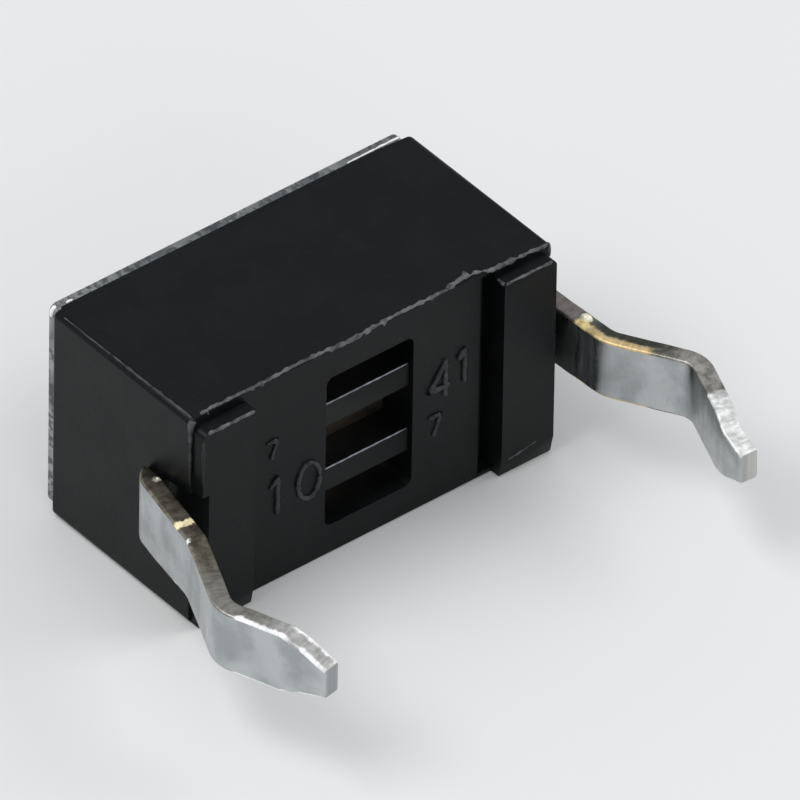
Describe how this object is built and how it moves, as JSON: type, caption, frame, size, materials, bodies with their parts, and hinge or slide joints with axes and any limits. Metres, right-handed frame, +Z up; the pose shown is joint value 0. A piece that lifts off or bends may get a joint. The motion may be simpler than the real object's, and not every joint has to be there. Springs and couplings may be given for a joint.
{
  "type": "tactile push button switch",
  "caption": "Small through-hole tactile push button switch: black moulded housing with a thin metal cover plate, a short sprung button and kinked flat leads.",
  "frame": {"origin": "middle of the long side face that the switch lies on, which is the bottom plane of the row", "axes": "+X from one lead to the other, +Y the way the button points, out of the cover plate, +Z up from the side face; the board is on the -Y side"},
  "size_m": [0.0085, 0.0078, 0.0035],
  "materials": {
    "housing": "satin black moulded thermoplastic",
    "cover_plate": "thin stamped sheet with sheared edges",
    "button": "satin black moulded plastic",
    "contact_dome": "thin spring sheet",
    "terminal_left": "satin tinned sheet, warm base metal showing on its sheared edges",
    "terminal_right": "satin tinned sheet, warm base metal showing on its sheared edges"
  },
  "bodies": {
    "base": {"housing": "housing", "cover_plate": "cover_plate", "contact_dome": "contact_dome", "terminal_left": "terminal_left", "terminal_right": "terminal_right"},
    "button": {"button": "button"}
  },
  "joints": [
    {"name": "button_press", "type": "slide", "parent": "base", "child": "button", "axis": [0, -1, 0], "range_m": [0, 0.00025], "stiffness_N_per_m": 6400, "deforming": ["contact_dome"]}
  ]
}
